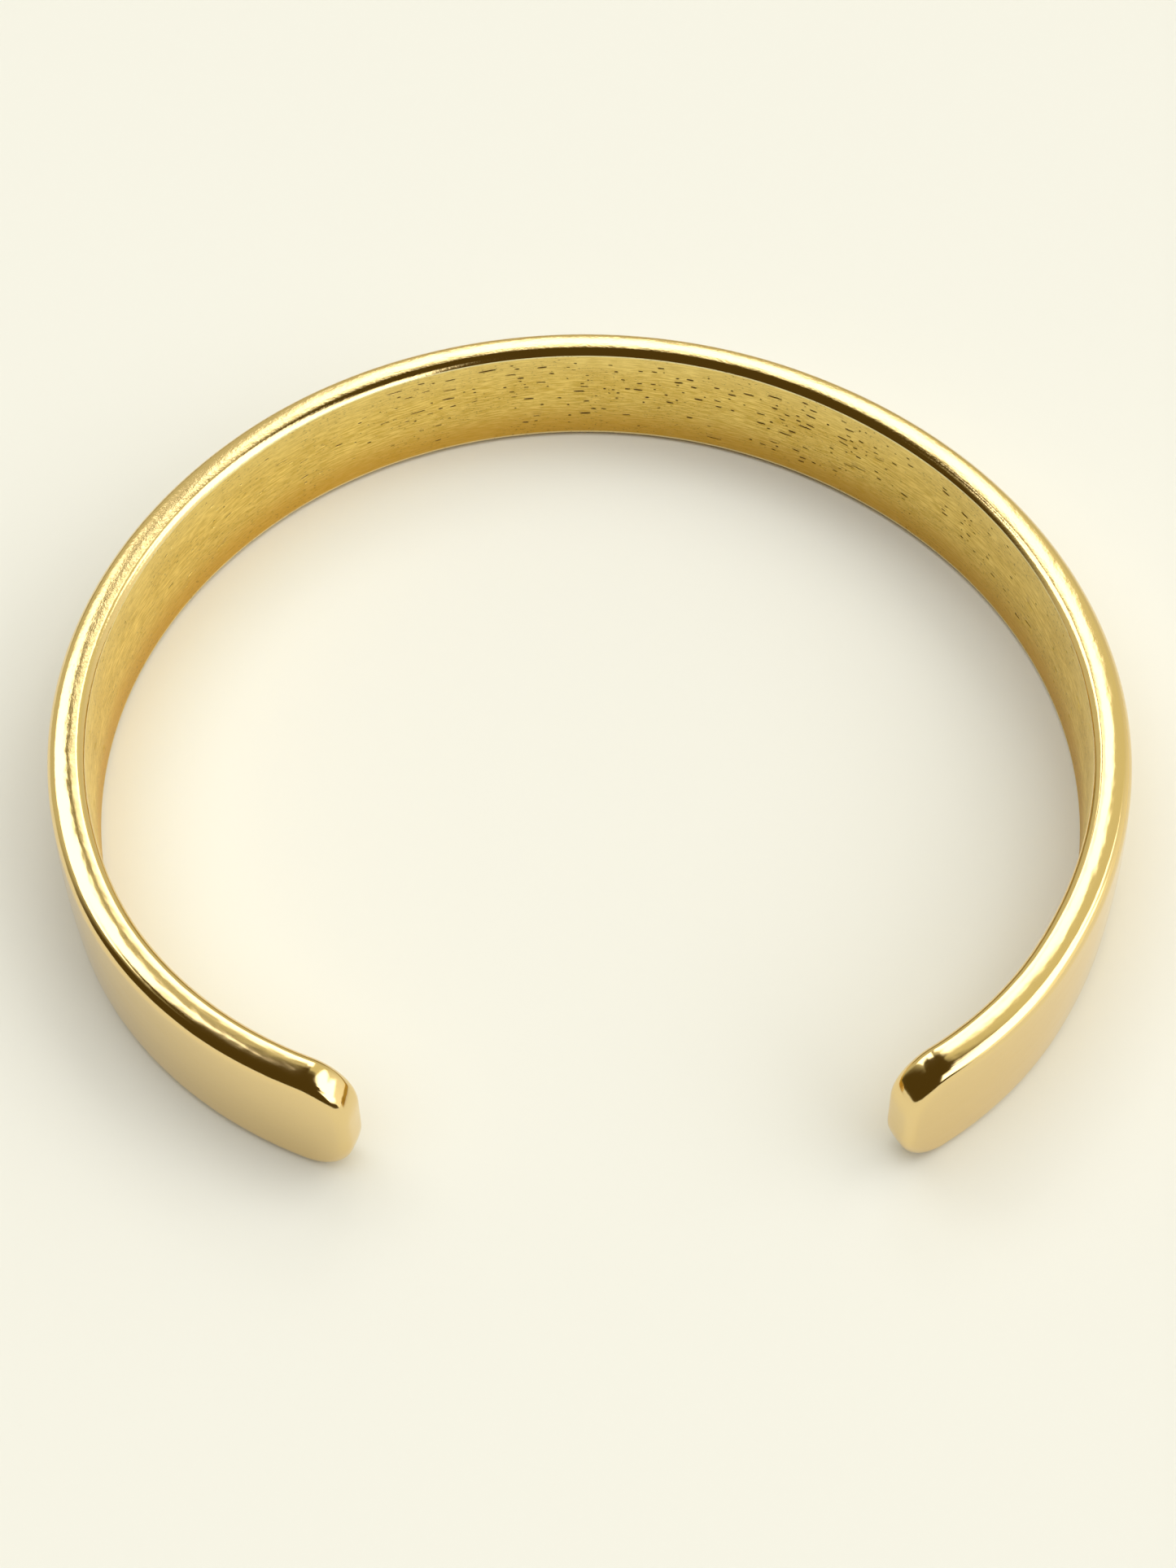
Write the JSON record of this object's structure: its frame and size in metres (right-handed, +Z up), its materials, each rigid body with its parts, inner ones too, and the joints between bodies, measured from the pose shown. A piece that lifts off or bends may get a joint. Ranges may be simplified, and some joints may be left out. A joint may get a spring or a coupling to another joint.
{
  "type": "open cuff bangle",
  "caption": "Open C-shaped cuff bangle: a solid gold-coloured metal band, flat and satin inside, gently domed and polished outside, with rounded rims and rounded ends.",
  "frame": {"origin": "on the surface that the bangle lies on, under the middle of the outline", "axes": "+Z up along the axis of the bangle, +X to the right across its widest part, -Y towards the gap"},
  "size_m": [0.0662, 0.0648, 0.0078],
  "materials": {
    "band_metal": "mirror polished outside and on the rims, satin inside"
  },
  "bodies": {
    "root": {"cuff_band": "band_metal"}
  },
  "joints": []
}
